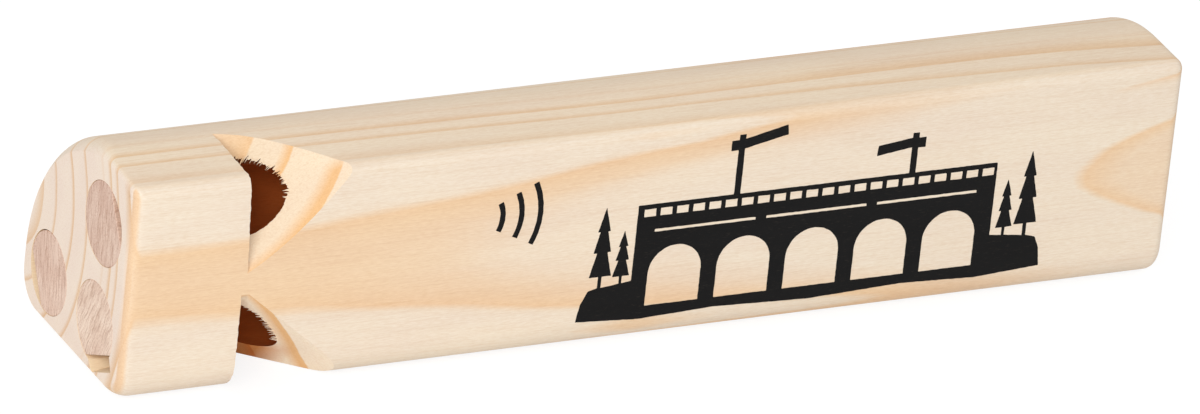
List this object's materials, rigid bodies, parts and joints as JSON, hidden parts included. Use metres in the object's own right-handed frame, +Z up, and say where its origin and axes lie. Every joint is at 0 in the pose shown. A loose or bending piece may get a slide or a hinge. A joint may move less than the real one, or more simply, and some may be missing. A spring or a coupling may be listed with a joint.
{
  "type": "wooden train whistle",
  "caption": "Hand-held wooden train whistle: a rounded pine block with blind bores of different depths, each stopped at the mouth by a flatted dowel plug and opened by a corner notch.",
  "frame": {"origin": "centre of the base's bounding rectangle, on the flat underside", "axes": "+X along the block from its mouth end to its closed tail, -Y out of the flat front face, +Z up"},
  "size_m": [0.1964, 0.0426, 0.042],
  "materials": {
    "pine": "bare, fine sanded",
    "beech": "bare, cut end grain"
  },
  "bodies": {
    "root": {"pine_block": "pine", "top_front_plug": "beech", "bottom_front_plug": "beech", "bottom_back_plug": "beech"}
  },
  "joints": []
}
